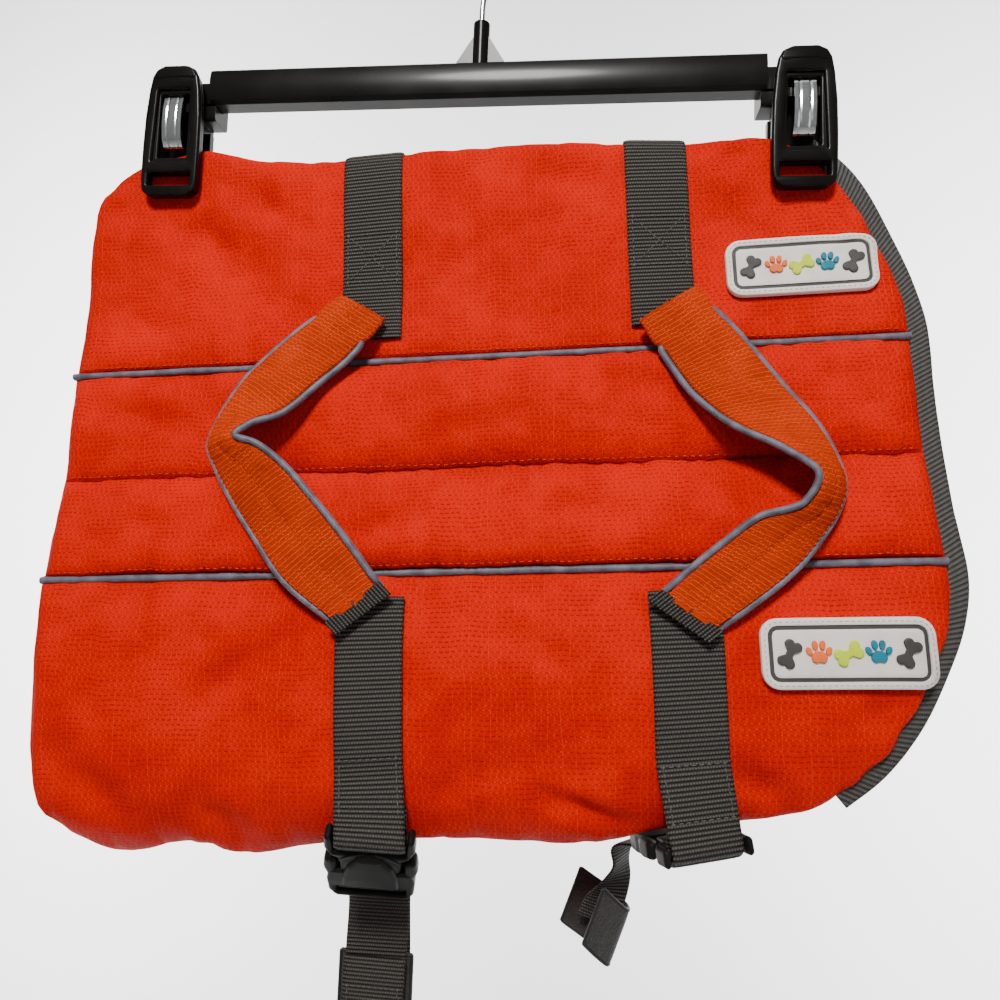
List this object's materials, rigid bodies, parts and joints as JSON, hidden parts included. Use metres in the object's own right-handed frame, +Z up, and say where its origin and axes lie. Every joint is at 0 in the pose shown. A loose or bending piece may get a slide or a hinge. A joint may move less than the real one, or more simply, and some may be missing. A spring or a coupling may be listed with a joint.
{
  "type": "dog life jacket on a clip hanger",
  "caption": "Padded dog life jacket with grab handles, webbing straps and side-release buckles, held by its upper flank in a clip hanger.",
  "frame": {"origin": "inside top of the hanger's hook, where a rail holds it", "axes": "+X along the hanger bar, from the jacket's tail to its neck; +Z up, out of the hook; +Y through the jacket, away from its outer face"},
  "size_m": [0.3603, 0.0751, 0.5012],
  "materials": {
    "orange_ripstop": "matt ripstop",
    "orange_handle_cloth": "matt ripstop",
    "grey_webbing": "ribbed polypropylene weave",
    "grey_piping": "satin woven cord cover",
    "black_plastic": "glossy",
    "chrome": "polished",
    "white_rubber": "matt moulded"
  },
  "bodies": {
    "root": {"belly_strap_front": "grey_webbing", "belly_strap_rear": "grey_webbing", "belly_tail_front": "grey_webbing", "belly_tail_rear": "grey_webbing", "buckle_front_plug": "black_plastic", "buckle_front_socket": "black_plastic", "buckle_rear_plug": "black_plastic", "buckle_rear_socket": "black_plastic", "clip_left_jaw": "black_plastic", "clip_left_slider": "black_plastic", "clip_left_spring": "chrome", "clip_right_jaw": "black_plastic", "clip_right_slider": "black_plastic", "clip_right_spring": "chrome", "flank_lower": "orange_ripstop", "flank_upper": "orange_ripstop", "handle_front": "orange_handle_cloth", "handle_front_piping_inner": "grey_piping", "handle_front_piping_outer": "grey_piping", "handle_rear": "orange_handle_cloth", "handle_rear_piping_inner": "grey_piping", "handle_rear_piping_outer": "grey_piping", "hanger_bar": "black_plastic", "hanger_hook": "chrome", "keeper_front": "grey_webbing", "keeper_rear": "grey_webbing", "neck_band": "grey_webbing", "patch_lower": "white_rubber", "patch_upper": "white_rubber", "piping_lower": "grey_piping", "piping_upper": "grey_piping", "spine_lower": "orange_ripstop", "spine_upper": "orange_ripstop", "strap_lower_front": "grey_webbing", "strap_lower_rear": "grey_webbing", "strap_upper_front": "grey_webbing", "strap_upper_rear": "grey_webbing"}
  },
  "joints": []
}
